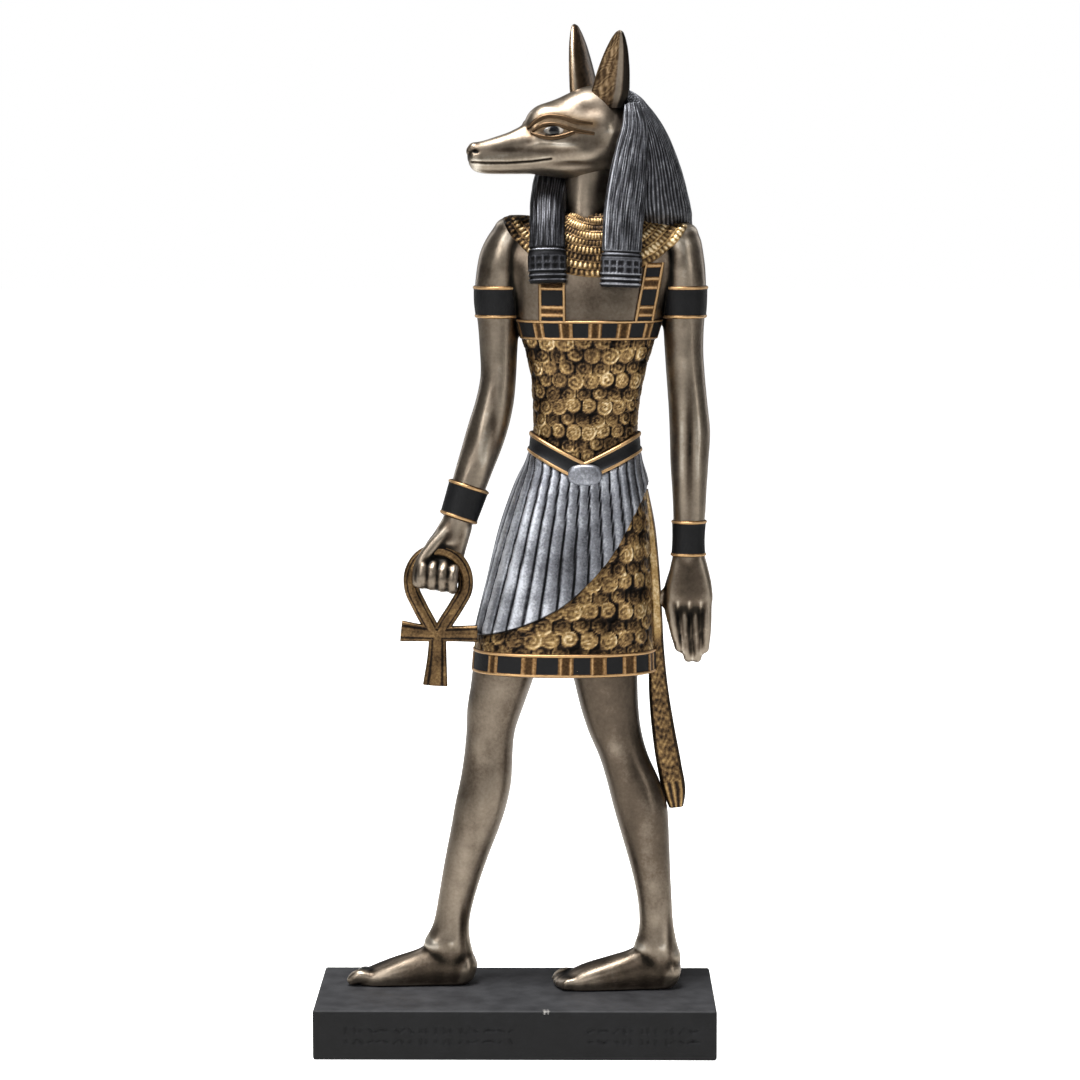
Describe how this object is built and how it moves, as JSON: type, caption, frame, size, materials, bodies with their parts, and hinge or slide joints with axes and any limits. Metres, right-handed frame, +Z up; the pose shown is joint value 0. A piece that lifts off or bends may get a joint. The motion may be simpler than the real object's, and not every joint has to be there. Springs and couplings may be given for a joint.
{
  "type": "jackal-headed god statue",
  "caption": "Striding jackal-headed god in hand-coloured cold-cast bronze, with an ankh in one hand, on a black rectangular plinth.",
  "frame": {"origin": "the middle of the plinth's underside", "axes": "+Z is up. The figure's chest faces -Y, and it walks towards -X."},
  "size_m": [0.116, 0.052, 0.2958],
  "materials": {
    "cast_bronze": "antiqued satin",
    "black_plinth": "matte"
  },
  "bodies": {
    "root": {"figure": "cast_bronze", "plinth": "black_plinth"}
  },
  "joints": []
}
